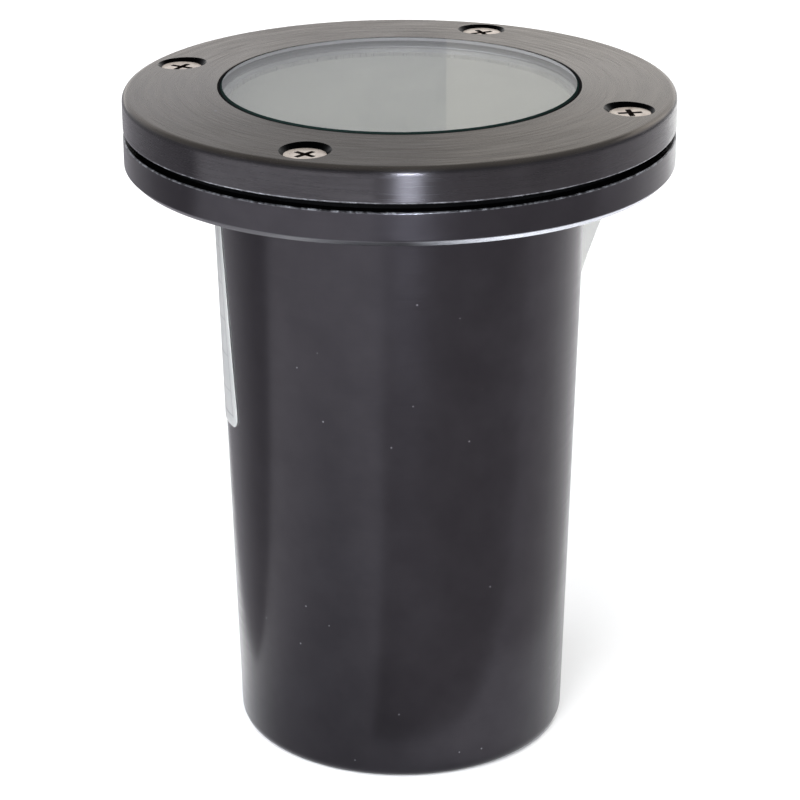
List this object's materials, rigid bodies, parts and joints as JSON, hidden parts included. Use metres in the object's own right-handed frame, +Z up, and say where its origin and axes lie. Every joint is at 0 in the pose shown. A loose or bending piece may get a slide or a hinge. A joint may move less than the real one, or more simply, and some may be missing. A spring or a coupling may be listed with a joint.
{
  "type": "in ground well light",
  "caption": "Recessed in-ground well light: round bezel and flush lens on a flanged tapered can, with a gimballed lamp inside and a cable gland in the foot.",
  "frame": {"origin": "centre of the can's foot, on the plane that it stands on", "axes": "+Z up along the can's axis to the lens, -Y towards the camera of the picture, +X to its right"},
  "size_m": [0.12, 0.12, 0.1503],
  "materials": {
    "can_coat": "cast aluminium with a smooth dark satin coat",
    "bezel_metal": "turned aluminium, dark finish, satin with lathe marks on top",
    "screw_steel": "stainless steel, bright",
    "stainless": "stainless steel, plain",
    "zinc_steel": "zinc plated sheet steel",
    "black_rubber": "moulded black rubber",
    "lens_glass": "clear tempered glass, polished",
    "frosted_glass": "frosted glass",
    "satin_aluminium": "turned aluminium, satin",
    "label_film": "plain pale label",
    "black_nylon": "moulded black nylon",
    "white_nylon": "moulded natural nylon",
    "brass": "plain brass",
    "tinned_brass": "tinned brass",
    "lead_silicone": "silicone rubber insulation",
    "lamp_aluminium": "die cast aluminium, satin",
    "lamp_optic": "clear moulded plastic",
    "lamp_plastic": "moulded pale plastic",
    "steatite": "unglazed steatite"
  },
  "bodies": {
    "housing_body": {"housing": "can_coat", "thread_inserts": "stainless", "flange_gasket": "black_rubber", "rating_label": "label_film", "gland_body": "black_nylon", "gland_o_ring": "black_rubber", "gland_seal": "black_rubber", "gland_cap_nut": "black_nylon", "gland_locknut": "black_nylon", "swivel_washer": "stainless"},
    "bracket_body": {"gimbal_bracket": "zinc_steel", "terminal_block": "white_nylon", "terminal_clamps": "brass", "terminal_screws": "zinc_steel", "lamp_leads": "lead_silicone"},
    "lamp_head": {"gimbal_ring": "zinc_steel", "pivot_screws": "stainless", "pivot_washers": "white_nylon", "lamp_clip": "stainless", "lamp_body": "lamp_aluminium", "lamp_optic": "lamp_optic", "lamp_base": "lamp_plastic", "lamp_pins": "tinned_brass", "lamp_socket": "steatite", "socket_contacts": "tinned_brass"},
    "cover": {"bezel_ring": "bezel_metal", "lens": "lens_glass", "lens_gasket": "black_rubber", "lens_retainer": "satin_aluminium", "diffuser": "frosted_glass", "diffuser_clip": "stainless"},
    "screws": {"cover_screws": "screw_steel"}
  },
  "joints": [
    {"name": "cover_lift", "type": "slide", "parent": "housing_body", "child": "cover", "axis": [0, 0, 1], "range_m": [0, 0.06]},
    {"name": "screws_out", "type": "slide", "parent": "cover", "child": "screws", "axis": [0, 0, 1], "range_m": [0, 0.018]},
    {"name": "lamp_swivel", "type": "hinge", "parent": "housing_body", "child": "bracket_body", "pos_m": [0, 0, 0.03], "axis": [0, 0, 1], "range_deg": [-170, 170]},
    {"name": "lamp_tilt", "type": "hinge", "parent": "bracket_body", "child": "lamp_head", "pos_m": [0, 0, 0.116], "axis": [1, 0, 0], "range_deg": [-15, 15], "deforming": ["lamp_leads"]}
  ]
}
